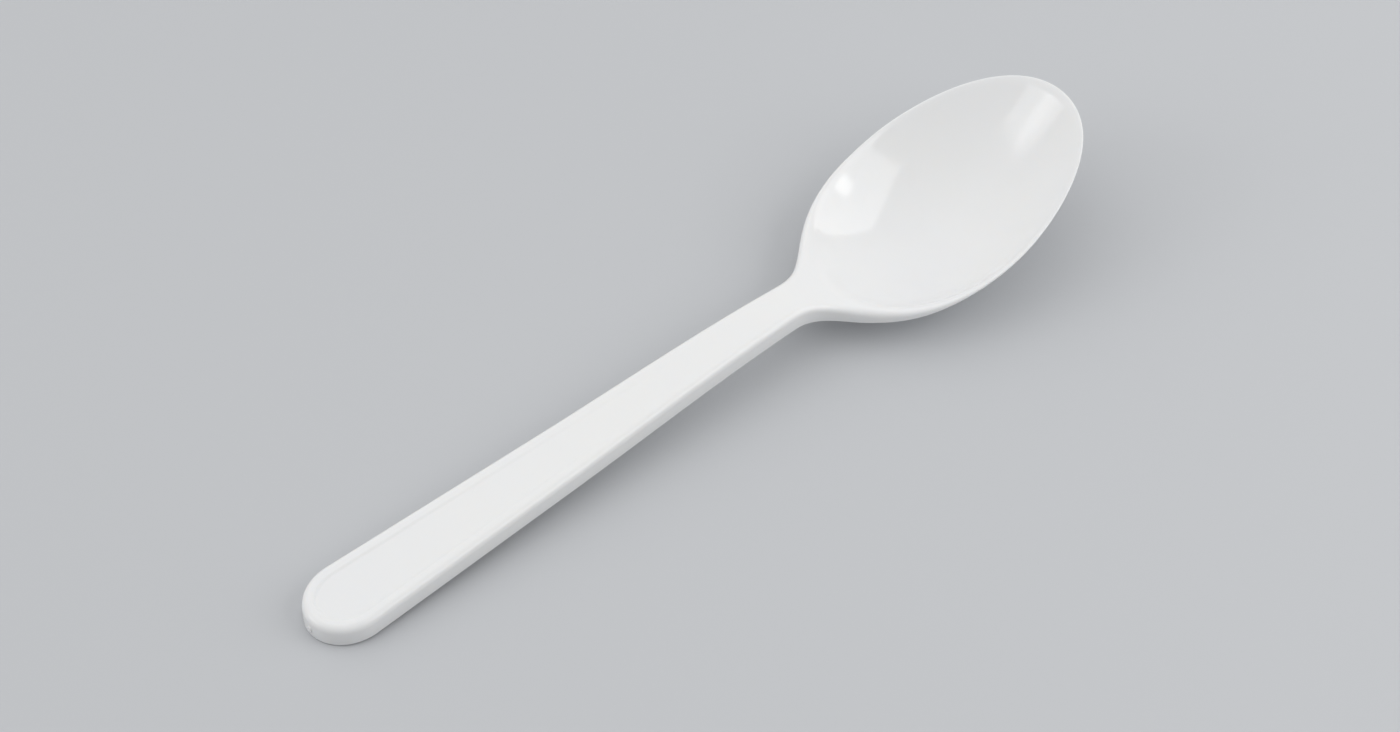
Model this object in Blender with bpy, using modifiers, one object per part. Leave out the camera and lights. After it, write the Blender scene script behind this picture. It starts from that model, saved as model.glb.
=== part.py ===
"""A disposable plastic spoon, injection moulded in one piece.

The spoon lies as it does on a table, on the end of its handle and the bottom of its bowl. X runs along it from
the handle's end to the bowl's tip, Z is up, and it is the same on both sides of the XZ plane. All sizes are in
metres. The script first measures along the spoon from the handle's end, and centres the spoon at the very last.

The shape is a loft. Ribs run from the outline in to the middle line, leaning towards square to the outline. Each
rib carries one half section: the top face, the rounded edge, the turned-down wall and the underside.
"""
import math

import bmesh
import bpy
import numpy as np

# Outline in plan. Widths are across the whole spoon.
HANDLE_LENGTH = 0.1014          # handle's end to the narrowest place, the neck
BOWL_LENGTH = 0.0634            # neck to the bowl's tip
BOWL_FRONT_LENGTH = 0.0279      # widest place of the bowl to its tip
HANDLE_WIDTH = 0.0145           # across the handle where its rounded end begins
HANDLE_END_LENGTH = 0.0087      # rounded end of the handle, along the spoon
NECK_WIDTH = 0.0077
BOWL_WIDTH = 0.0382

# How far the curve handles of the outline reach, as shares of the distance that each curve spans.
END_ROUNDNESS = 0.56
NECK_REACH = 0.35
SHOULDER_REACH = 0.69
FRONT_REACH = 0.37
TIP_REACH = 0.69

# Side line of the top face: a straight handle, a crest at the neck, a dip behind it and a rise to the tip.
HANDLE_SLOPE = 0.070            # rise of the handle for each metre along it
STRAIGHT_LENGTH = 0.0516        # straight part of the handle's top face
NECK_HEIGHT = 0.0111            # top face above the table at the neck
DIP_DROP = 0.00263              # from the neck down to the lowest place of the rim
DIP_LENGTH = 0.0117             # from the neck along to the lowest place of the rim
TIP_HEIGHT = 0.0215             # rim above the table at the bowl's tip
TIP_SLOPE = 0.270               # rise of the rim at the tip for each metre along it

# Wall thicknesses and the turned-down wall round the edge.
WALL = 0.0012                   # thickness of the face, the bowl and the turned-down wall
EDGE_HEIGHT = 0.0040            # turned-down wall round the handle, top to bottom
LIP_HEIGHT = 0.0009             # what is left of that wall round the front of the bowl
LIP_SLOPE = 1.5                 # how steeply the underside falls from the lip to the bowl's full wall
TAPER_LENGTH = 0.0286           # from the neck to where the wall has become the lip
WALL_DRAFT = math.radians(8.0)  # slope of the turned-down wall's inner side, so that it leaves the mould

# Rounded edges, and the band along the outline that is kept for them.
EDGE_RADIUS = 0.0013
LOWER_RADIUS = 0.0003
ROUND_SHARE = 0.5               # a radius takes at most this share of the wall's height
LOWER_SHARE = 0.25
EDGE_BAND = 0.0026

# Hollow of the bowl, an egg in plan. Its depth follows from the walls and the heights, because the bowl's
# underside touches the table.
RIM_WIDTH = 0.0003              # rim between the outline and the hollow
HOLLOW_BACK_LENGTH = 0.0250     # widest place of the bowl back to the hollow's edge at the neck
HOLLOW_LENGTH_POWER = 1.75
HOLLOW_WIDTH_POWER = 2.30
HOLLOW_SOFTNESS = 0.0012        # height over which the hollow's edge is rounded
UNDERSIDE_SOFTNESS = 0.0008
CENTRE_SOFTNESS = 0.25          # share of the length over which the two halves of the egg blend

# Gate mark, the small stub left on the handle's end where the plastic came in.
GATE_DIAMETER = 0.0012
GATE_HEIGHT = 0.0015            # middle of the mark above the lower edge of the end
GATE_PROUD = 0.0002

# Fineness of the mesh.
RIB_SPACING = 0.0050            # longest step along the outline
RIB_TURN = math.radians(9.0)    # largest turn of the outline from rib to rib
RIB_LEAN = 0.5                  # 0 sets the ribs across the spoon, 1 sets them square to the outline
CURVE_STEPS = 200               # points on each curve before the ribs are spaced out
EDGE_STEPS = 3                  # steps round the upper edge
FACE_STEPS = 7                  # steps from the edge in to the middle line
GATE_SIDES = 20
SAME_PLACE = 0.00001
SLOPE_STEP = 0.00001            # distance over which slopes are measured
RIB_SHARE = 0.8                 # the edge's shapes take at most this share of a rib

LENGTH = HANDLE_LENGTH + BOWL_LENGTH
WIDEST_X = LENGTH - BOWL_FRONT_LENGTH


def curve_points(*corners):
    """Points of one Bezier curve of the outline, from its two ends and two handles."""
    t = np.linspace(0.0, 1.0, CURVE_STEPS)[:, None]
    weights = ((1 - t) ** 3, 3 * t * (1 - t) ** 2, 3 * t ** 2 * (1 - t), t ** 3)
    return sum(weight * np.array(corner) for weight, corner in zip(weights, corners))


def half_outline():
    """The outline from the handle's end to the bowl's tip, as closely spaced points on the +Y side."""
    end = np.array([0.0, 0.0])
    side = np.array([HANDLE_END_LENGTH, HANDLE_WIDTH / 2])
    neck = np.array([HANDLE_LENGTH, NECK_WIDTH / 2])
    wide = np.array([WIDEST_X, BOWL_WIDTH / 2])
    tip = np.array([LENGTH, 0.0])
    handle = neck - side
    along = handle / np.hypot(*handle)
    shoulder = WIDEST_X - HANDLE_LENGTH
    end_handle = end + [0.0, END_ROUNDNESS * side[1]]
    side_handle = side - along * END_ROUNDNESS * HANDLE_END_LENGTH
    neck_handle = neck + along * NECK_REACH * shoulder
    shoulder_handle = wide - [SHOULDER_REACH * shoulder, 0.0]
    front_handle = wide + [FRONT_REACH * BOWL_FRONT_LENGTH, 0.0]
    tip_handle = tip + [0.0, TIP_REACH * wide[1]]
    curves = [
        curve_points(end, end_handle, side_handle, side),
        curve_points(side, side + handle / 3, neck - handle / 3, neck)[1:],
        curve_points(neck, neck_handle, shoulder_handle, wide)[1:],
        curve_points(wide, front_handle, tip_handle, tip)[1:],
    ]
    return np.vstack(curves)


def ribs():
    """Outer and inner end of every rib in plan. The ribs stand closer together where the outline turns."""
    points = half_outline()
    step = np.diff(points, axis=0)
    heading = np.unwrap(np.arctan2(step[:, 1], step[:, 0]))
    turn = np.abs(np.diff(heading, prepend=heading[0]))
    travel = np.cumsum(np.hypot(*step.T) / RIB_SPACING + turn / RIB_TURN)
    travel = np.concatenate([[0.0], travel])
    even = np.linspace(0.0, travel[-1], math.ceil(travel[-1]) + 1)
    outer = np.column_stack([np.interp(even, travel, values) for values in points.T])
    square = np.gradient(points[:, 1] ** 2 / 2, points[:, 0])
    lean = RIB_LEAN * np.interp(even, travel, square)
    inner = np.column_stack([outer[:, 0] + lean, np.zeros(len(outer))])
    return outer, inner


def curve_between(x, start, end):
    """Height at x on a smooth curve between two places, each given as (x, height, slope)."""
    span = end[0] - start[0]
    t = np.clip((x - start[0]) / span, 0.0, 1.0)
    rise = 3 * t ** 2 - 2 * t ** 3
    leave = t * (1 - t) ** 2
    arrive = t ** 2 * (t - 1)
    return start[1] + (end[1] - start[1]) * rise + span * (start[2] * leave + end[2] * arrive)


def side_line(x):
    """Height of the top face, or of the rim, at x."""
    straight = (STRAIGHT_LENGTH, EDGE_HEIGHT + HANDLE_SLOPE * STRAIGHT_LENGTH, HANDLE_SLOPE)
    crest = (HANDLE_LENGTH, NECK_HEIGHT, 0.0)
    dip = (HANDLE_LENGTH + DIP_LENGTH, NECK_HEIGHT - DIP_DROP, 0.0)
    tip = (LENGTH, TIP_HEIGHT, TIP_SLOPE)
    height = EDGE_HEIGHT + HANDLE_SLOPE * x
    for start, end in ((straight, crest), (crest, dip), (dip, tip)):
        height = np.where(x > start[0], curve_between(x, start, end), height)
    return height


def taper(x):
    """0 where the turned-down wall has its full height, 1 where only the lip is left."""
    t = np.clip((x - HANDLE_LENGTH) / TAPER_LENGTH, 0.0, 1.0)
    return t * t * (3 - 2 * t)


def soft_power(t, power):
    """A power of t that is 0 at 0 and 1 at 1, and smooth through 0."""
    soft = CENTRE_SOFTNESS ** power
    return ((t * t + CENTRE_SOFTNESS ** 2) ** (power / 2) - soft) / ((1 + CENTRE_SOFTNESS ** 2) ** (power / 2) - soft)


def smooth_max(a, b, blend):
    """The larger of two depths, with the corner where they cross rounded off."""
    overlap = np.maximum(blend - np.abs(a - b), 0.0)
    return np.maximum(a, b) + overlap ** 2 / (4 * np.maximum(blend, SAME_PLACE))


def hollow_share(x, y):
    """Share of the hollow's full depth at a place in plan: 1 in the middle, 0 at its edge, less outside."""
    length = np.where(x < WIDEST_X, HOLLOW_BACK_LENGTH, BOWL_FRONT_LENGTH - RIM_WIDTH)
    along = soft_power((x - WIDEST_X) / length, HOLLOW_LENGTH_POWER)
    across = np.abs(y / (BOWL_WIDTH / 2 - RIM_WIDTH)) ** HOLLOW_WIDTH_POWER
    return 1.0 - along - across


def bowl_depth():
    """Full depth of the hollow, with which the underside just touches the table."""
    x = np.linspace(WIDEST_X - HOLLOW_BACK_LENGTH / 2, WIDEST_X + BOWL_FRONT_LENGTH / 2, CURVE_STEPS)
    return np.min((side_line(x) - WALL) / hollow_share(x, 0.0))


def hollow_depth(x, y):
    """Depth of the bowl's own surface under the side line, carried on past the hollow's edge."""
    return bowl_depth() * hollow_share(x, y)


def upright_wall(x, y):
    """Thickness of the bowl measured straight down, which is more where its surface slopes."""
    def surface(u, v):
        return side_line(u) - hollow_depth(u, v)
    across_x = (surface(x + SLOPE_STEP, y) - surface(x - SLOPE_STEP, y)) / (2 * SLOPE_STEP)
    across_y = (surface(x, y + SLOPE_STEP) - surface(x, y - SLOPE_STEP)) / (2 * SLOPE_STEP)
    return WALL * np.sqrt(1.0 + across_x ** 2 + across_y ** 2)


def face_depth(x, y):
    """Depth of the top face under the side line."""
    return smooth_max(hollow_depth(x, y), 0.0, HOLLOW_SOFTNESS)


def edge_height(x):
    """Height of the turned-down wall at x, down to the lip's round the front of the bowl."""
    return EDGE_HEIGHT + (LIP_HEIGHT - EDGE_HEIGHT) * taper(x)


def underside_depth(x, y, inset, edge_x):
    """Depth of the underside under the side line, with the turned-down wall near the outline.

    The inset is the distance in from the outline, and edge_x is where its rib meets the outline.
    """
    tapered = taper(x)
    plate = WALL + (LIP_HEIGHT - WALL) * tapered
    bowl = hollow_depth(x, y) + upright_wall(x, y)
    sheet = smooth_max(bowl, plate, UNDERSIDE_SOFTNESS * (1 - tapered))
    lip = edge_height(edge_x) + LIP_SLOPE * np.maximum(inset - LOWER_RADIUS, 0.0)
    wall = edge_height(edge_x) - np.maximum(inset - WALL, 0.0) / math.tan(WALL_DRAFT)
    return np.maximum(np.minimum(sheet, lip), wall)


def half_section(outer, inner):
    """Points of the half section on one rib, from the middle of the face, round the edge, to below it."""
    rib = np.hypot(*(inner - outer))
    fit = min(1.0, RIB_SHARE * rib / EDGE_BAND)
    height = edge_height(outer[0])
    upper = min(EDGE_RADIUS, ROUND_SHARE * height) * fit
    lower = min(LOWER_RADIUS, LOWER_SHARE * height) * fit
    wall_foot = WALL + (EDGE_HEIGHT - WALL) * math.tan(WALL_DRAFT)

    def place(inset):
        return outer + np.outer(inset / rib, inner - outer)

    face_inset = np.linspace(rib, EDGE_BAND * fit, FACE_STEPS + 1)
    angle = np.linspace(math.pi / 2, 0.0, EDGE_STEPS + 1)
    round_inset = upper * (1 - np.cos(angle))
    round_drop = upper * (1 - np.sin(angle))
    top_inset = np.concatenate([face_inset, round_inset])
    top_drop = np.concatenate([np.zeros(FACE_STEPS + 1), round_drop])
    top_plan = place(top_inset)
    top_depth = face_depth(*top_plan.T) + top_drop
    foot_inset = np.array([0.0, lower, WALL * fit, wall_foot * fit])
    under_inset = np.concatenate([foot_inset, np.linspace(wall_foot * fit, rib, FACE_STEPS + 1)[1:]])
    under_plan = place(under_inset)
    under_depth = underside_depth(*under_plan.T, under_inset / fit, outer[0])
    under_depth[0] = under_depth[1] - lower
    plan = np.vstack([top_plan, under_plan])
    depth = np.concatenate([top_depth, under_depth])
    return np.column_stack([plan, side_line(plan[:, 0]) - depth])


def centre(lowest):
    """The spoon's reference point: under the middle of its length, on the table."""
    return np.array([(LENGTH - GATE_PROUD) / 2, 0.0, lowest])


def moulded_plastic():
    """Glossy white plastic."""
    material = bpy.data.materials.new("white_moulded_plastic")
    material.use_nodes = True
    shader = material.node_tree.nodes["Principled BSDF"]
    shader.inputs["Base Color"].default_value = (0.82, 0.82, 0.80, 1.0)
    shader.inputs["Roughness"].default_value = 0.25
    shader.inputs["Metallic"].default_value = 0.0
    return material


def new_collection(name):
    """A collection in the scene."""
    collection = bpy.data.collections.new(name)
    bpy.context.scene.collection.children.link(collection)
    return collection


def new_object(name, mesh, collection):
    """A mesh object in a collection."""
    made = bpy.data.objects.new(name, mesh)
    collection.objects.link(made)
    return made


def half_spoon_mesh(sections):
    """The +Y half as a grid whose rows are the half sections, open at the XZ plane."""
    rows, columns = sections.shape[:2]
    bm = bmesh.new()
    bmesh.ops.create_grid(bm, x_segments=rows - 1, y_segments=columns - 1, size=1.0)
    for vert in bm.verts:
        row = round((vert.co.x + 1.0) / 2.0 * (rows - 1))
        column = round((vert.co.y + 1.0) / 2.0 * (columns - 1))
        vert.co = sections[row, column]
    mesh = bpy.data.meshes.new("spoon")
    bm.to_mesh(mesh)
    bm.free()
    return mesh


def gate_mark_mesh():
    """The stub of the gate, a short cylinder along X with its middle at its own origin."""
    bm = bmesh.new()
    bmesh.ops.create_cone(bm, cap_ends=True, segments=GATE_SIDES, radius1=GATE_DIAMETER / 2,
                          radius2=GATE_DIAMETER / 2, depth=2 * GATE_PROUD + WALL)
    turn_to_x = np.array([[0.0, 0.0, 1.0], [0.0, 1.0, 0.0], [-1.0, 0.0, 0.0]])
    for vert in bm.verts:
        vert.co = turn_to_x @ np.array(vert.co)
    mesh = bpy.data.meshes.new("gate_mark")
    bm.to_mesh(mesh)
    bm.free()
    return mesh


def build():
    """Make the spoon."""
    for existing in list(bpy.data.objects):
        bpy.data.objects.remove(existing)
    outer, inner = ribs()
    sections = np.array([half_section(*ends) for ends in zip(outer, inner)])
    reference = centre(sections[:, :, 2].min())
    spoon = new_object("spoon", half_spoon_mesh(sections - reference), new_collection("plastic_spoon"))
    spoon.data.materials.append(moulded_plastic())
    spoon.data.shade_smooth()

    mirror = spoon.modifiers.new("other_half", "MIRROR")
    mirror.use_axis = (False, True, False)
    mirror.merge_threshold = SAME_PLACE

    gate_mark = new_object("gate_mark", gate_mark_mesh(), new_collection("shapes_to_join"))
    gate_mark.location = np.array([WALL / 2, 0.0, GATE_HEIGHT]) - reference
    gate_mark.hide_render = True
    gate_mark.display_type = "WIRE"
    join = spoon.modifiers.new("gate_mark", "BOOLEAN")
    join.operation = "UNION"
    join.solver = "EXACT"
    join.object = gate_mark


build()
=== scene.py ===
# %% [markdown]
# # A moulded plastic spoon
#
# A disposable spoon is one thin piece of white polystyrene, shot into a steel mould in about a second. Its
# looks are all in two things: the soft curves of the mould, and how a glossy white surface mirrors the lamps
# over it. This lesson builds the spoon finer than its CAD solid, in the same place and from the same sizes.
# Then it gives the spoon its plastic, a floor, a tent of pale cloth and two soft boxes.

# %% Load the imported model
import math

import bmesh
import bpy
import numpy as np
from mathutils import Matrix, Vector


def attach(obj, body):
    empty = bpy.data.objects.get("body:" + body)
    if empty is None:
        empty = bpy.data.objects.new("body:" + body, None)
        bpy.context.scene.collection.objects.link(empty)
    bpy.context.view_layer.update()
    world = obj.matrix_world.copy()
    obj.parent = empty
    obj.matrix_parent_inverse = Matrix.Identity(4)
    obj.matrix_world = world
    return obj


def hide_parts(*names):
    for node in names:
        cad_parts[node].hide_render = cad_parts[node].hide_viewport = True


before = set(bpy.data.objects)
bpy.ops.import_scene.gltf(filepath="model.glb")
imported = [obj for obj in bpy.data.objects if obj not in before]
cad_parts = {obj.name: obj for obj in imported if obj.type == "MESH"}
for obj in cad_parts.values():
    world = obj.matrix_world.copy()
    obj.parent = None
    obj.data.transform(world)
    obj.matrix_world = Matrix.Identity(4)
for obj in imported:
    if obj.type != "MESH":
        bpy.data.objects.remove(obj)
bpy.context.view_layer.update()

# %% [markdown]
# ## Camera
#
# The camera comes first, so that every later cell can be judged through it. It looks down at the spoon from
# 50 degrees, with a long lens a metre away, which keeps the far end of the spoon nearly as wide as the near
# one. Azimuth is the way the camera looks, turned from +Y towards +X.

# %% Place the camera
CAMERA_AIM = Vector((0.00214, 0.00156, 0.00500))
CAMERA_DISTANCE = 1.0091
CAMERA_ELEVATION = math.radians(50.34)
CAMERA_AZIMUTH = math.radians(38.67)
SENSOR_WIDTH = 36.0
LENS = 151.0

away = Vector((math.sin(CAMERA_AZIMUTH), math.cos(CAMERA_AZIMUTH), 0.0))
right = Vector((math.cos(CAMERA_AZIMUTH), -math.sin(CAMERA_AZIMUTH), 0.0))
up = Vector((0.0, 0.0, 1.0))
looking = away * math.cos(CAMERA_ELEVATION) - up * math.sin(CAMERA_ELEVATION)

camera_data = bpy.data.cameras.new("camera")
camera_data.lens = LENS
camera_data.sensor_width = SENSOR_WIDTH
camera = bpy.data.objects.new("camera", camera_data)
camera.location = CAMERA_AIM - looking * CAMERA_DISTANCE
camera.rotation_euler = looking.to_track_quat("-Z", "Y").to_euler()
bpy.context.scene.collection.objects.link(camera)
bpy.context.scene.camera = camera
print("Camera at, mm:", [round(1000 * value) for value in camera.location])

# %% [markdown]
# ## Outline
#
# Seen from above, half the spoon is four Bezier curves end to end: the rounded end of the handle, its
# straight side, the S of the shoulder and the front of the bowl. A Bezier curve needs only its ends and two
# handles, so each size of the spoon appears once. The sizes are those of the CAD solid, in metres from the
# handle's end.

# %% Draw half the outline
HANDLE_LENGTH = 0.1014
BOWL_LENGTH = 0.0634
BOWL_FRONT_LENGTH = 0.0279
HANDLE_WIDTH = 0.0145
HANDLE_END_LENGTH = 0.0087
NECK_WIDTH = 0.0077
BOWL_WIDTH = 0.0382
END_ROUNDNESS = 0.56
NECK_REACH = 0.35
SHOULDER_REACH = 0.69
FRONT_REACH = 0.37
TIP_REACH = 0.69
CURVE_STEPS = 400

LENGTH = HANDLE_LENGTH + BOWL_LENGTH
WIDEST_X = LENGTH - BOWL_FRONT_LENGTH


def curve_points(*corners):
    """Points of one Bezier curve, from its two ends and two handles."""
    t = np.linspace(0.0, 1.0, CURVE_STEPS)[:, None]
    weights = ((1 - t) ** 3, 3 * t * (1 - t) ** 2, 3 * t ** 2 * (1 - t), t ** 3)
    return sum(weight * np.array(corner) for weight, corner in zip(weights, corners))


def half_outline():
    """The outline on the +Y side, from the handle's end to the bowl's tip."""
    end = np.array([0.0, 0.0])
    side = np.array([HANDLE_END_LENGTH, HANDLE_WIDTH / 2])
    neck = np.array([HANDLE_LENGTH, NECK_WIDTH / 2])
    wide = np.array([WIDEST_X, BOWL_WIDTH / 2])
    tip = np.array([LENGTH, 0.0])
    handle = neck - side
    along = handle / np.hypot(*handle)
    shoulder = WIDEST_X - HANDLE_LENGTH
    return np.vstack([
        curve_points(end, end + [0.0, END_ROUNDNESS * side[1]],
                     side - along * END_ROUNDNESS * HANDLE_END_LENGTH, side),
        curve_points(side, side + handle / 3, neck - handle / 3, neck)[1:],
        curve_points(neck, neck + along * NECK_REACH * shoulder,
                     wide - [SHOULDER_REACH * shoulder, 0.0], wide)[1:],
        curve_points(wide, wide + [FRONT_REACH * BOWL_FRONT_LENGTH, 0.0],
                     tip + [0.0, TIP_REACH * wide[1]], tip)[1:],
    ])


outline = half_outline()
print("Outline:", len(outline), "points, half width", round(1000 * outline[:, 1].max(), 2), "mm")

# %% [markdown]
# ## Ribs
#
# A loft needs ribs, as a boat does. Each one runs from the outline in to the middle line. Ribs set straight
# across would bunch up at the rounded ends, and ribs set square to the outline would cross in the neck, so
# they lean halfway. They stand closer together where the outline turns, and much closer than in the CAD
# solid, because a mirror image of a lamp shows every flat.

# %% Set out the ribs
RIB_SPACING = 0.0009
RIB_TURN = math.radians(2.0)
RIB_LEAN = 0.5


def ribs(points):
    """Outer and inner end of every rib in plan. A rib set square to the outline would reach the middle line
    further along by the slope of half the width squared, so a leaning rib goes a share of that."""
    step = np.diff(points, axis=0)
    heading = np.unwrap(np.arctan2(step[:, 1], step[:, 0]))
    turn = np.abs(np.diff(heading, prepend=heading[0]))
    travel = np.cumsum(np.hypot(*step.T) / RIB_SPACING + turn / RIB_TURN)
    travel = np.concatenate([[0.0], travel])
    even = np.linspace(0.0, travel[-1], math.ceil(travel[-1]) + 1)
    outer = np.column_stack([np.interp(even, travel, values) for values in points.T])
    square = np.gradient(points[:, 1] ** 2 / 2, points[:, 0])
    lean = RIB_LEAN * np.interp(even, travel, square)
    return outer, np.column_stack([outer[:, 0] + lean, np.zeros(len(outer))])


rib_outer, rib_inner = ribs(outline)
print("Ribs:", len(rib_outer))

# %% [markdown]
# ## Side line
#
# From the side the top face is a straight handle that climbs 4 degrees, a crest at the neck, a dip behind it
# and a rim that sweeps up to the tip. Each stretch is a cubic that leaves one place and reaches the next at a
# given slope, so the joins don't show as kinks in the gloss.

# %% Draw the side line
EDGE_HEIGHT = 0.0040
HANDLE_SLOPE = 0.070
STRAIGHT_LENGTH = 0.0516
NECK_HEIGHT = 0.0111
DIP_DROP = 0.00263
DIP_LENGTH = 0.0117
TIP_HEIGHT = 0.0215
TIP_SLOPE = 0.270


def curve_between(x, start, end):
    """Height at x on a smooth curve between two places, each given as (x, height, slope)."""
    span = end[0] - start[0]
    t = np.clip((x - start[0]) / span, 0.0, 1.0)
    rise = 3 * t ** 2 - 2 * t ** 3
    leave = t * (1 - t) ** 2
    arrive = t ** 2 * (t - 1)
    return start[1] + (end[1] - start[1]) * rise + span * (start[2] * leave + end[2] * arrive)


def side_line(x):
    """Height of the top face, or of the rim, at x."""
    straight = (STRAIGHT_LENGTH, EDGE_HEIGHT + HANDLE_SLOPE * STRAIGHT_LENGTH, HANDLE_SLOPE)
    crest = (HANDLE_LENGTH, NECK_HEIGHT, 0.0)
    dip = (HANDLE_LENGTH + DIP_LENGTH, NECK_HEIGHT - DIP_DROP, 0.0)
    tip = (LENGTH, TIP_HEIGHT, TIP_SLOPE)
    height = EDGE_HEIGHT + HANDLE_SLOPE * x
    for start, end in ((straight, crest), (crest, dip), (dip, tip)):
        height = np.where(x > start[0], curve_between(x, start, end), height)
    return height


neck_and_tip = np.array([HANDLE_LENGTH, LENGTH])
print("Side line at the neck and the tip, mm:", np.round(1000 * side_line(neck_and_tip), 2))

# %% [markdown]
# ## Bowl
#
# The hollow is an egg in plan, blunt towards the tip. Its depth is a share, 1 in the middle and 0 at the
# hollow's edge, times the full depth. The full depth isn't chosen: a spoon on a table rests on its bowl, so
# the bowl goes as deep as the wall under it allows. Where the hollow meets the flat face, the corner is
# rounded as the mould's polished edge is.

# %% Shape the hollow
WALL = 0.0012
RIM_WIDTH = 0.0003
HOLLOW_BACK_LENGTH = 0.0250
HOLLOW_LENGTH_POWER = 1.75
HOLLOW_WIDTH_POWER = 2.30
HOLLOW_SOFTNESS = 0.0012
CENTRE_SOFTNESS = 0.25
SLOPE_STEP = 0.00001


def soft_power(t, power):
    """A power of t that is 0 at 0 and 1 at 1, and smooth through 0."""
    soft = CENTRE_SOFTNESS ** power
    rise = (t * t + CENTRE_SOFTNESS ** 2) ** (power / 2) - soft
    return rise / ((1 + CENTRE_SOFTNESS ** 2) ** (power / 2) - soft)


def smooth_max(a, b, blend):
    """The larger of two depths, with the corner where they cross rounded off."""
    overlap = np.maximum(blend - np.abs(a - b), 0.0)
    return np.maximum(a, b) + overlap ** 2 / (4 * np.maximum(blend, SLOPE_STEP))


def hollow_share(x, y):
    """Share of the hollow's full depth: 1 in the middle, 0 at its edge, less outside."""
    length = np.where(x < WIDEST_X, HOLLOW_BACK_LENGTH, BOWL_FRONT_LENGTH - RIM_WIDTH)
    along = soft_power((x - WIDEST_X) / length, HOLLOW_LENGTH_POWER)
    across = np.abs(y / (BOWL_WIDTH / 2 - RIM_WIDTH)) ** HOLLOW_WIDTH_POWER
    return 1.0 - along - across


middle = np.linspace(WIDEST_X - HOLLOW_BACK_LENGTH / 2, WIDEST_X + BOWL_FRONT_LENGTH / 2, CURVE_STEPS)
bowl_depth = np.min((side_line(middle) - WALL) / hollow_share(middle, 0.0))


def hollow_depth(x, y):
    """Depth of the bowl's own surface under the side line, carried on past the hollow's edge."""
    return bowl_depth * hollow_share(x, y)


def upright_wall(x, y):
    """Thickness of the bowl measured straight down, which is more where its surface slopes."""
    def surface(u, v):
        return side_line(u) - hollow_depth(u, v)
    across_x = (surface(x + SLOPE_STEP, y) - surface(x - SLOPE_STEP, y)) / (2 * SLOPE_STEP)
    across_y = (surface(x, y + SLOPE_STEP) - surface(x, y - SLOPE_STEP)) / (2 * SLOPE_STEP)
    return WALL * np.sqrt(1.0 + across_x ** 2 + across_y ** 2)


print("Bowl depth, mm:", round(1000 * bowl_depth, 2))

# %% [markdown]
# ## Turned-down edge
#
# A flat strip of plastic this thin would bend like paper, so the edge turns down all round the handle and
# fades to a thin lip round the front of the bowl. The fade is one smooth step, because a straight ramp would
# show a kink at both of its ends.

# %% Set the height of the turned-down edge
LIP_HEIGHT = 0.0009
TAPER_LENGTH = 0.0286


def ease(t):
    """A smooth step from 0 to 1."""
    t = np.clip(t, 0.0, 1.0)
    return t * t * (3 - 2 * t)


def taper(x):
    """0 where the turned-down wall has its full height, 1 where only the lip is left."""
    return ease((x - HANDLE_LENGTH) / TAPER_LENGTH)


def edge_height(x):
    """Height of the turned-down wall at x."""
    return EDGE_HEIGHT + (LIP_HEIGHT - EDGE_HEIGHT) * taper(x)


print("Edge height at the neck and the tip, mm:", np.round(1000 * edge_height(neck_and_tip), 2))

# %% [markdown]
# ## Top face and underside
#
# Both faces are given as a depth under the side line, so each needs only one rule. The top face is flat on
# the handle and follows the hollow in the bowl. At the handle's end its border stands a little proud, as a
# low bead that fades out towards the neck. The underside lies one wall further down. Near the outline it is
# the turned-down wall instead, whose inner side leans so that it leaves the mould. Behind the lip it slopes
# away until it meets the bowl's wall.

# %% Give both faces their depth
LIP_SLOPE = 1.5
LOWER_RADIUS = 0.0003
WALL_DRAFT = math.radians(8.0)
UNDERSIDE_SOFTNESS = 0.0008
BEAD_WIDTH = 0.0026
BEAD_SLOPE_WIDTH = 0.0006
BEAD_HEIGHT = 0.00020


def face_depth(x, y, inset):
    """Depth of the top face under the side line. The inset is the distance in from the outline."""
    bead = BEAD_HEIGHT * ease(1.0 - x / HANDLE_LENGTH) * ease((BEAD_WIDTH - inset) / BEAD_SLOPE_WIDTH)
    return smooth_max(hollow_depth(x, y), 0.0, HOLLOW_SOFTNESS) - bead


def underside_depth(x, y, inset, edge_x):
    """Depth of the underside under the side line, with the turned-down wall near the outline."""
    tapered = taper(x)
    plate = WALL + (LIP_HEIGHT - WALL) * tapered
    bowl = hollow_depth(x, y) + upright_wall(x, y)
    sheet = smooth_max(bowl, plate, UNDERSIDE_SOFTNESS * (1 - tapered))
    lip = edge_height(edge_x) + LIP_SLOPE * np.maximum(inset - LOWER_RADIUS, 0.0)
    wall = edge_height(edge_x) - np.maximum(inset - WALL, 0.0) / math.tan(WALL_DRAFT)
    return np.maximum(np.minimum(sheet, lip), wall)


print("Bead at the handle's end, mm:", 1000 * BEAD_WIDTH, "wide,", 1000 * BEAD_HEIGHT, "high")

# %% [markdown]
# ## Half section
#
# One half section runs from the middle of the face out to the rounded edge, down the wall, and back
# underneath to the middle. Its points stand closer together in a band along the outline, where the bead and
# the rounded edge are. Every rib has the same number of points, which lets a plain grid take the shape.

# %% Make one half section
EDGE_RADIUS = 0.0013
ROUND_SHARE = 0.5
LOWER_SHARE = 0.25
RIB_SHARE = 0.8
EDGE_BAND = 0.0030
FACE_STEPS = 22
BAND_STEPS = 12
EDGE_STEPS = 8
FOOT_STEPS = 6


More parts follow.
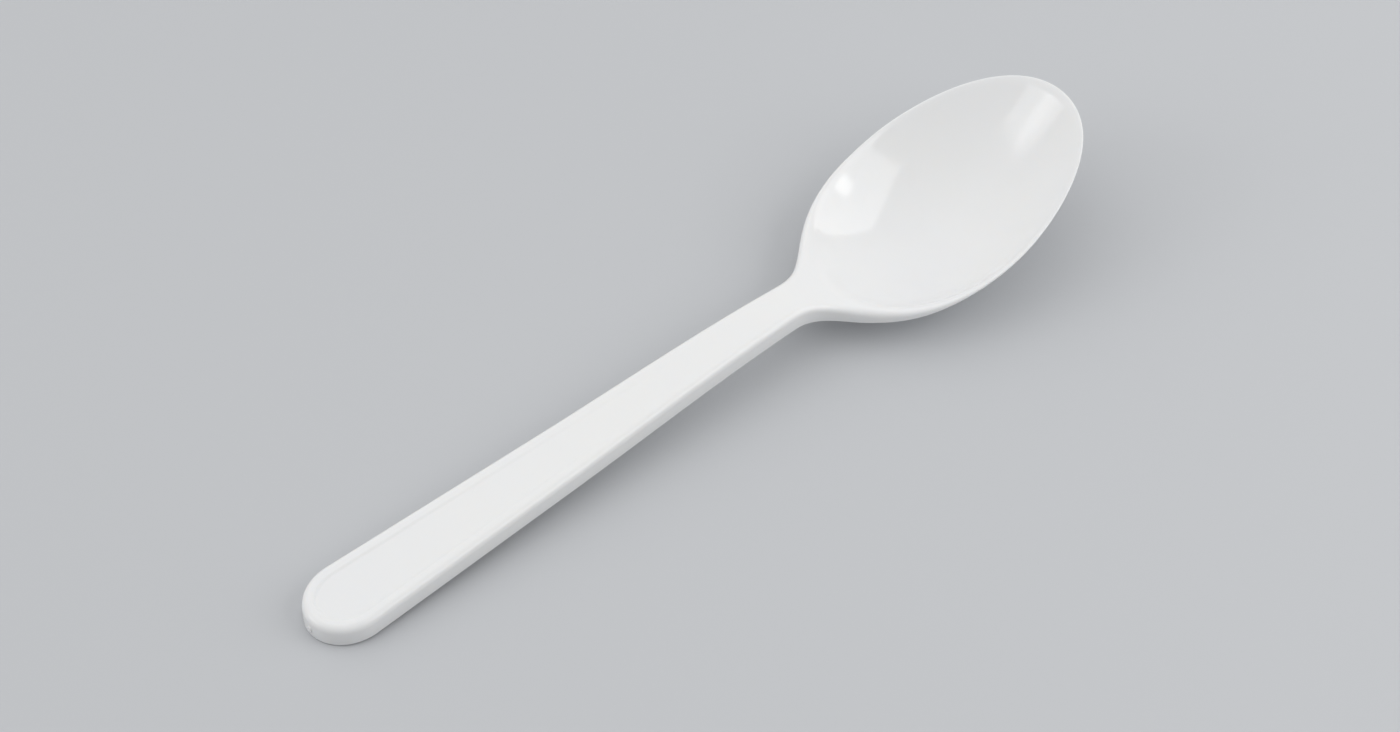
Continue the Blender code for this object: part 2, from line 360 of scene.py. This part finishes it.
def half_section(outer, inner):
    """Points of the half section on one rib. On a rib too short for the band along the edge, the band and what
    lies in it shrink to fit."""
    rib = np.hypot(*(inner - outer))
    fit = min(1.0, RIB_SHARE * rib / EDGE_BAND)
    height = edge_height(outer[0])
    upper = min(EDGE_RADIUS, ROUND_SHARE * height) * fit
    lower = min(LOWER_RADIUS, LOWER_SHARE * height) * fit
    wall_foot = WALL + (EDGE_HEIGHT - WALL) * math.tan(WALL_DRAFT)

    def place(inset):
        return outer + np.outer(inset / rib, inner - outer)

    angle = np.linspace(math.pi / 2, 0.0, EDGE_STEPS + 1)
    face_inset = np.linspace(rib, EDGE_BAND * fit, FACE_STEPS + 1)
    band_inset = np.linspace(EDGE_BAND * fit, upper, BAND_STEPS + 1)[1:-1]
    top_inset = np.concatenate([face_inset, band_inset, upper * (1 - np.cos(angle))])
    top_drop = np.concatenate([np.zeros(FACE_STEPS + BAND_STEPS), upper * (1 - np.sin(angle))])
    top_plan = place(top_inset)
    top_depth = face_depth(*top_plan.T, top_inset) + top_drop

    turn = np.linspace(0.0, math.pi / 2, FOOT_STEPS + 1)
    foot_inset = np.concatenate([lower * (1 - np.cos(turn)), [WALL * fit, wall_foot * fit]])
    foot_lift = np.concatenate([lower * (1 - np.sin(turn)), [0.0, 0.0]])
    back_inset = np.linspace(wall_foot * fit, rib, FACE_STEPS + 1)[1:]
    under_inset = np.concatenate([foot_inset, back_inset])
    under_plan = place(under_inset)
    under_depth = underside_depth(*under_plan.T, under_inset / fit, outer[0])
    under_depth[:len(foot_lift)] -= foot_lift
    plan = np.vstack([top_plan, under_plan])
    depth = np.concatenate([top_depth, under_depth])
    return np.column_stack([plan, side_line(plan[:, 0]) - depth])


sections = np.array([half_section(*ends) for ends in zip(rib_outer, rib_inner)])
print("Sections:", sections.shape[0], "ribs of", sections.shape[1], "points")

# %% [markdown]
# ## From grid to spoon
#
# Blender makes the faces: a grid with one row for each rib and one column for each point of the section.
# Moving its points onto the ribs bends the sheet into half a spoon. Mirror makes the other half, and merging
# the doubles along the middle closes the skin. The mirrored half is inside out at first, so the normals are
# worked out again once the skin is closed.

# %% Bend a grid into the spoon
GATE_PROUD = 0.0002
SAME_PLACE = 0.00001

spoon_origin = np.array([(LENGTH - GATE_PROUD) / 2, 0.0, sections[:, :, 2].min()])
points = sections - spoon_origin
rows, columns = points.shape[:2]

bm = bmesh.new()
bmesh.ops.create_grid(bm, x_segments=rows - 1, y_segments=columns - 1, size=1.0)
for vert in bm.verts:
    row = round((vert.co.x + 1.0) / 2.0 * (rows - 1))
    column = round((vert.co.y + 1.0) / 2.0 * (columns - 1))
    vert.co = points[row, column]
bmesh.ops.mirror(bm, geom=bm.verts[:] + bm.edges[:] + bm.faces[:], axis="Y", merge_dist=SAME_PLACE)
bmesh.ops.remove_doubles(bm, verts=bm.verts[:], dist=SAME_PLACE)
bmesh.ops.recalc_face_normals(bm, faces=bm.faces[:])
open_edges = [edge for edge in bm.edges if len(edge.link_faces) != 2]
print("Spoon skin:", len(bm.faces), "faces,", len(open_edges), "open edges")

spoon_mesh = bpy.data.meshes.new("moulded_spoon")
bm.to_mesh(spoon_mesh)
bm.free()
spoon_mesh.shade_smooth()
spoon = bpy.data.objects.new("moulded_spoon", spoon_mesh)
bpy.context.scene.collection.objects.link(spoon)

# %% [markdown]
# ## Gate mark
#
# The melt enters the mould at the end of the handle. When the spoon is broken off, a small stub is left
# there. It is a short disc with its rim bevelled, turned to face along the spoon.

# %% Add the gate mark
GATE_DIAMETER = 0.0012
GATE_HEIGHT = 0.0015
GATE_ROUNDING = 0.00012
GATE_SIDES = 32

bm = bmesh.new()
bmesh.ops.create_cone(bm, cap_ends=True, segments=GATE_SIDES, radius1=GATE_DIAMETER / 2,
                      radius2=GATE_DIAMETER / 2, depth=2 * GATE_PROUD + WALL)
rims = [edge for edge in bm.edges if any(len(face.verts) > 4 for face in edge.link_faces)]
bmesh.ops.bevel(bm, geom=rims, offset=GATE_ROUNDING, affect="EDGES", segments=3, profile=0.5, material=-1)
gate_place = Matrix.Translation(Vector((WALL / 2, 0.0, GATE_HEIGHT)) - Vector(spoon_origin))
along_spoon = Matrix.Rotation(math.pi / 2, 4, "Y")
bmesh.ops.transform(bm, matrix=gate_place @ along_spoon, verts=bm.verts[:])
gate_mesh = bpy.data.meshes.new("gate_mark")
bm.to_mesh(gate_mesh)
bm.free()
gate_mesh.shade_smooth()
gate_mark = bpy.data.objects.new("gate_mark", gate_mesh)
bpy.context.scene.collection.objects.link(gate_mark)
print("Gate mark:", len(gate_mesh.polygons), "faces")

# %% [markdown]
# ## Helpers for materials
#
# Every material needs the same three things: a colour that is chosen as an sRGB hex value and used as linear
# light, nodes with their settings and links, and a Principled shader to end in. One small function each keeps
# the cells that follow short.

# %% Write three helpers
def linear(hex_colour):
    """A linear colour from an sRGB hex value."""
    channels = [int(hex_colour[start:start + 2], 16) / 255 for start in (1, 3, 5)]
    return [c / 12.92 if c <= 0.04045 else ((c + 0.055) / 1.055) ** 2.4 for c in channels] + [1.0]


def add_node(tree, kind, settings=None, inputs=None):
    """Add a node. Inputs are values to set, or output sockets to link."""
    node = tree.nodes.new(kind)
    for name, value in (settings or {}).items():
        setattr(node, name, value)
    for name, value in (inputs or {}).items():
        if isinstance(value, bpy.types.NodeSocket):
            tree.links.new(value, node.inputs[name])
        else:
            node.inputs[name].default_value = value
    return node


def new_material(name):
    """A material with its node tree and its Principled shader."""
    material = bpy.data.materials.new(name)
    material.use_nodes = True
    return material, material.node_tree, material.node_tree.nodes["Principled BSDF"]


print("Middle grey as linear light:", round(linear("#808080")[0], 3))

# %% [markdown]
# ## Plastic
#
# Cheap cutlery is polystyrene with a white pigment, moulded against polished steel. Polystyrene bends light
# more than most plastics do, with an index of 1.59, so its gloss is strong. Light goes a little way in before
# the pigment turns it back, which softens the shading of thin edges. The pigment is never spread quite
# evenly, so the white drifts a little, over about 30 mm. Sizes are real ones, in metres.

# %% Make the white polystyrene
POLYSTYRENE_IOR = 1.59
PLASTIC_WHITE = "#EFEFED"
PLASTIC_CLOUD = "#ECEDEF"
CLOUD_SIZE = 0.030
CLOUD_DETAIL = 2.0
SCATTER_SHARE = 0.25
SCATTER_DEPTH = 0.0012
SCATTER_BY_COLOUR = (1.0, 0.9, 0.8)

polystyrene, tree, shader = new_material("white_polystyrene")
place = add_node(tree, "ShaderNodeTexCoord").outputs["Object"]
cloud = add_node(tree, "ShaderNodeTexNoise", inputs={"Vector": place, "Scale": 1 / CLOUD_SIZE,
                                                     "Detail": CLOUD_DETAIL})
colour = add_node(tree, "ShaderNodeMix", {"data_type": "RGBA"}, {"Factor": cloud.outputs["Fac"]})
colour.inputs["A"].default_value = linear(PLASTIC_WHITE)
colour.inputs["B"].default_value = linear(PLASTIC_CLOUD)
tree.links.new(colour.outputs["Result"], shader.inputs["Base Color"])
shader.inputs["IOR"].default_value = POLYSTYRENE_IOR
shader.inputs["Metallic"].default_value = 0.0
shader.inputs["Subsurface Weight"].default_value = SCATTER_SHARE
shader.inputs["Subsurface Radius"].default_value = SCATTER_BY_COLOUR
shader.inputs["Subsurface Scale"].default_value = SCATTER_DEPTH
print("Plastic:", PLASTIC_WHITE, "drifting to", PLASTIC_CLOUD)

# %% [markdown]
# ## Skin of the plastic
#
# The skin isn't perfectly flat. It shrinks unevenly as it cools, so mirror images waver, and the steel leaves
# a faint grain and patches that are a little more or less polished. The real grain is finer than 0.1 mm and
# is drawn coarser here, so that it shows. Heights are in metres too: the waver is 4 thousandths of a
# millimetre.

# %% Give the plastic its skin
GLOSS_SIZE = 0.005
GLOSS_DETAIL = 3.0
ROUGHNESS_LEAST = 0.09
ROUGHNESS_MOST = 0.12
WAVE_SIZE = 0.009
WAVE_DETAIL = 1.0
WAVE_HEIGHT = 0.000004
GRAIN_SIZE = 0.0004
GRAIN_DETAIL = 2.0
GRAIN_HEIGHT = 0.0000004

gloss = add_node(tree, "ShaderNodeTexNoise", inputs={"Vector": place, "Scale": 1 / GLOSS_SIZE,
                                                     "Detail": GLOSS_DETAIL})
roughness = add_node(tree, "ShaderNodeMapRange", inputs={"Value": gloss.outputs["Fac"],
                                                         "To Min": ROUGHNESS_LEAST, "To Max": ROUGHNESS_MOST})
wave = add_node(tree, "ShaderNodeTexNoise", inputs={"Vector": place, "Scale": 1 / WAVE_SIZE,
                                                    "Detail": WAVE_DETAIL})
waver = add_node(tree, "ShaderNodeBump", inputs={"Height": wave.outputs["Fac"], "Distance": WAVE_HEIGHT})
grain = add_node(tree, "ShaderNodeTexNoise", inputs={"Vector": place, "Scale": 1 / GRAIN_SIZE,
                                                     "Detail": GRAIN_DETAIL})
skin = add_node(tree, "ShaderNodeBump", inputs={"Height": grain.outputs["Fac"], "Distance": GRAIN_HEIGHT,
                                                "Normal": waver.outputs["Normal"]})
tree.links.new(roughness.outputs["Result"], shader.inputs["Roughness"])
tree.links.new(skin.outputs["Normal"], shader.inputs["Normal"])
for piece in (spoon, gate_mark):
    piece.data.materials.append(polystyrene)
print("Pieces in", polystyrene.name + ":", [piece.name for piece in (spoon, gate_mark)])

# %% [markdown]
# ## Floor
#
# A white spoon needs a floor a little darker than itself, or its edges vanish. A wide sheet of pale grey card
# does it, without gloss, so that it keeps a soft shadow.

# %% Lay the floor
FLOOR_SIZE = 8.0
FLOOR_GREY = "#C3C5C8"
CARD_ROUGHNESS = 0.9
CARD_GLOSS = 0.2

bm = bmesh.new()
bmesh.ops.create_grid(bm, x_segments=1, y_segments=1, size=FLOOR_SIZE / 2)
floor_mesh = bpy.data.meshes.new("floor")
bm.to_mesh(floor_mesh)
bm.free()
floor = bpy.data.objects.new("floor", floor_mesh)
bpy.context.scene.collection.objects.link(floor)
card, tree, shader = new_material("pale_grey_card")
shader.inputs["Base Color"].default_value = linear(FLOOR_GREY)
shader.inputs["Roughness"].default_value = CARD_ROUGHNESS
shader.inputs["Specular IOR Level"].default_value = CARD_GLOSS
floor.data.materials.append(card)

print("Floor:", FLOOR_SIZE, "m wide")

# %% [markdown]
# ## Light tent
#
# Small white goods are photographed inside a tent of thin cloth, because a glossy surface mirrors whatever is
# round it. Here the world is the tent. The light that it gives depends on the direction alone: brightest high
# up beyond the spoon on the camera's left, and dimmest low on the camera's right. A dot product with the
# brightest direction runs from -1 to 1. It is mapped to 0 to 1 and raised to a power, which narrows the bright
# part without giving it an edge.

# %% Put up the tent
TENT_AZIMUTH = math.radians(-60.0)
TENT_ELEVATION = math.radians(63.0)
TENT_BRIGHT = 1.28
TENT_FOCUS = 2.8


def toward(azimuth, elevation):
    """A direction. The azimuth is turned from the camera's heading towards its right."""
    level = away * math.cos(azimuth) + right * math.sin(azimuth)
    return level * math.cos(elevation) + up * math.sin(elevation)


world = bpy.data.worlds.new("light_tent")
world.use_nodes = True
bpy.context.scene.world = world
tree = world.node_tree
direction = add_node(tree, "ShaderNodeTexCoord").outputs["Generated"]
facing = add_node(tree, "ShaderNodeVectorMath", {"operation": "DOT_PRODUCT"}, {0: direction})
facing.inputs[1].default_value = toward(TENT_AZIMUTH, TENT_ELEVATION)
share = add_node(tree, "ShaderNodeMapRange", inputs={"Value": facing.outputs["Value"], "From Min": -1.0})
focus = add_node(tree, "ShaderNodeMath", {"operation": "POWER"}, {0: share.outputs["Result"], 1: TENT_FOCUS})
glow = add_node(tree, "ShaderNodeMath", {"operation": "MULTIPLY"},
                {0: focus.outputs["Value"], 1: TENT_BRIGHT})
print("The tent gives", TENT_BRIGHT, "at most")

# %% [markdown]
# ## What is seen of the tent
#
# A tent that is bright on one side would show in the background and in the gloss. So the camera and the
# mirror images see evenly lit pale cloth instead, and only the light that falls on the spoon comes from one
# side. The Light Path node tells the rays apart.

# %% Show the tent as plain cloth
TENT_SHOWN = 0.75

path = add_node(tree, "ShaderNodeLightPath")
shown = path.outputs["Is Camera Ray"]
for ray in ("Is Glossy Ray", "Is Transmission Ray"):
    either = add_node(tree, "ShaderNodeMath", {"operation": "MAXIMUM"}, {0: shown, 1: path.outputs[ray]})
    shown = either.outputs["Value"]
strength = add_node(tree, "ShaderNodeMix", {"data_type": "FLOAT"},
                    {"Factor": shown, "A": glow.outputs["Value"]})
strength.inputs["B"].default_value = TENT_SHOWN
background = tree.nodes["Background"]
background.inputs["Color"].default_value = (1.0, 1.0, 1.0, 1.0)
tree.links.new(strength.outputs["Result"], background.inputs["Strength"])
print("The tent shows as", TENT_SHOWN)

# %% [markdown]
# ## Soft boxes
#
# Two soft boxes with upright faces stand to the right and left of the bowl, and the bowl mirrors them: its
# left wall shows the right box as a patch with sharp corners, and the wall near its tip shows the left one as
# a streak. A box is brightest in front of its bulb, so each has a small lamp just before it that stands in for
# that spot. A lamp's brightness is its power shared over its area.

# %% Stand the soft boxes up
BOX_AIM = Vector((0.045, 0.0, 0.006))


def soft_box(name, azimuth, elevation, distance, back, width, height, turn, brightness):
    """A rectangular lamp with an upright face. Azimuth, elevation and distance are its place as seen from the
    bowl, back is the azimuth that its back points to, and turn is how far its face is turned in its own plane.
    Angles are in degrees."""
    behind = toward(math.radians(back), 0.0)
    data = bpy.data.lights.new(name, "AREA")
    data.shape = "RECTANGLE"
    data.size = width
    data.size_y = height
    data.energy = brightness * math.pi * width * height
    lamp = bpy.data.objects.new(name, data)
    place = BOX_AIM + toward(math.radians(azimuth), math.radians(elevation)) * distance
    upright = (-behind).to_track_quat("-Z", "Y").to_matrix().to_4x4()
    lamp.matrix_world = Matrix.Translation(place) @ upright @ Matrix.Rotation(math.radians(turn), 4, "Z")
    bpy.context.scene.collection.objects.link(lamp)
    print(name, "lights with", round(data.energy, 1), "W")


soft_box("right_soft_box", azimuth=85.7, elevation=38.1, distance=1.0, back=123.4, width=1.30, height=1.00,
         turn=30.7, brightness=1.5)
soft_box("right_bulb", azimuth=102.6, elevation=26.5, distance=0.9, back=102.6, width=0.16, height=0.16,
         turn=0.0, brightness=2.6)
soft_box("left_soft_box", azimuth=-102.8, elevation=30.0, distance=1.0, back=-122.0, width=0.56, height=0.53,
         turn=6.0, brightness=1.2)
soft_box("left_bulb", azimuth=-96.0, elevation=35.8, distance=0.9, back=-96.0, width=0.12, height=0.12,
         turn=0.0, brightness=1.2)

# %% [markdown]
# ## Finish
#
# The spoon and its gate mark ride on the one body, stand for the CAD solid, and stay inside its box. The
# colours are shown as they are, without a film curve.

# %% Hand the pieces over
bpy.context.scene.view_settings.view_transform = "Standard"
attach(spoon, "root")
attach(gate_mark, "root")
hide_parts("spoon")
